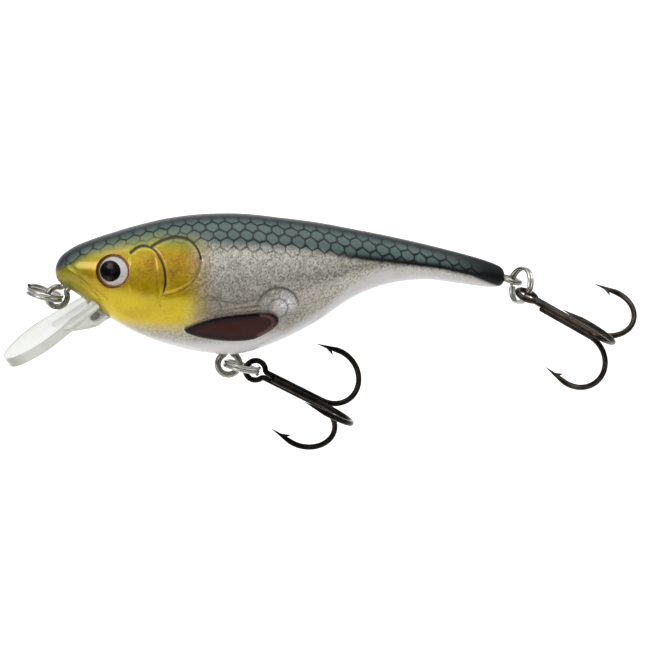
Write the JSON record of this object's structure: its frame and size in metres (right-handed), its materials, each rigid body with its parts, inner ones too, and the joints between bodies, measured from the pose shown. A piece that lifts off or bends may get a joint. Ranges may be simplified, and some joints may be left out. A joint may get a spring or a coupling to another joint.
{
  "type": "crankbait lure",
  "caption": "Hollow two-shell minnow-shaped fishing lure with a clear diving lip, domed eyes, a rattle, split rings and two treble hooks that swing.",
  "frame": {"origin": "centre of the nose eyelet's hole, where the line or its snap is fastened", "axes": "+X from the nose to the tail, +Z to the back, -Y on the fish's left side"},
  "size_m": [0.0911, 0.0245, 0.0355],
  "materials": {
    "shell_plastic": "clear plastic under airbrushed colour and glitter, high gloss",
    "lip_plastic": "clear polycarbonate, slightly milky",
    "pellet_steel": "dull",
    "eyelet_wire": "bright, slightly yellowed by lacquer",
    "ring_steel": "nickel plated",
    "hook_black_nickel": "black nickel",
    "eye_print": "printed foil, white with a black pupil",
    "eye_lens": "clear dome",
    "weight_metal": "cast, dull",
    "ball_steel": "polished"
  },
  "bodies": {
    "lure_body": {"shell_left": "shell_plastic", "shell_right": "shell_plastic", "diving_lip": "lip_plastic", "lip_pellet": "pellet_steel", "nose_eyelet": "eyelet_wire", "belly_eyelet": "eyelet_wire", "tail_eyelet": "eyelet_wire", "eye_foil_left": "eye_print", "eye_foil_right": "eye_print", "eye_dome_left": "eye_lens", "eye_dome_right": "eye_lens", "keel_weight": "weight_metal"},
    "nose_ring": {"nose_split_ring": "ring_steel"},
    "belly_ring": {"belly_split_ring": "ring_steel"},
    "belly_treble": {"belly_treble_double": "hook_black_nickel", "belly_treble_single": "hook_black_nickel"},
    "tail_ring": {"tail_split_ring": "ring_steel"},
    "tail_treble": {"tail_treble_double": "hook_black_nickel", "tail_treble_single": "hook_black_nickel"},
    "ball_left": {"rattle_ball_left": "ball_steel"},
    "ball_right": {"rattle_ball_right": "ball_steel"}
  },
  "joints": [
    {"name": "nose_ring_swing", "type": "hinge", "parent": "lure_body", "child": "nose_ring", "pos_m": [0, 0, 0], "axis": [0, 1, 0], "range_deg": [-70, 60]},
    {"name": "belly_ring_swing", "type": "hinge", "parent": "lure_body", "child": "belly_ring", "pos_m": [0.02504, 0, -0.00983], "axis": [0, 1, 0], "range_deg": [-5, 110]},
    {"name": "belly_treble_swing", "type": "hinge", "parent": "belly_ring", "child": "belly_treble", "pos_m": [0.02937, 0, -0.01086], "axis": [0, 1, 0], "range_deg": [-6, 40]},
    {"name": "tail_ring_swing", "type": "hinge", "parent": "lure_body", "child": "tail_ring", "pos_m": [0.06595, 0, 0.00255], "axis": [0.2924, 0, 0.9563], "range_deg": [-10, 148]},
    {"name": "tail_treble_swing", "type": "hinge", "parent": "tail_ring", "child": "tail_treble", "pos_m": [0.06752, -0.00495, 0.00118], "axis": [-0.392, 0.3193, -0.8628], "range_deg": [-40, 40]},
    {"name": "rattle_left_slide", "type": "slide", "parent": "lure_body", "child": "ball_left", "axis": [0, 1, 0], "range_m": [-0.0015, 0.0015]},
    {"name": "rattle_right_slide", "type": "slide", "parent": "lure_body", "child": "ball_right", "axis": [0, 1, 0], "range_m": [-0.0015, 0.0015]}
  ],
  "couplings": [
    {"joint": "rattle_right_slide", "follows": "rattle_left_slide", "ratio": 1}
  ]
}
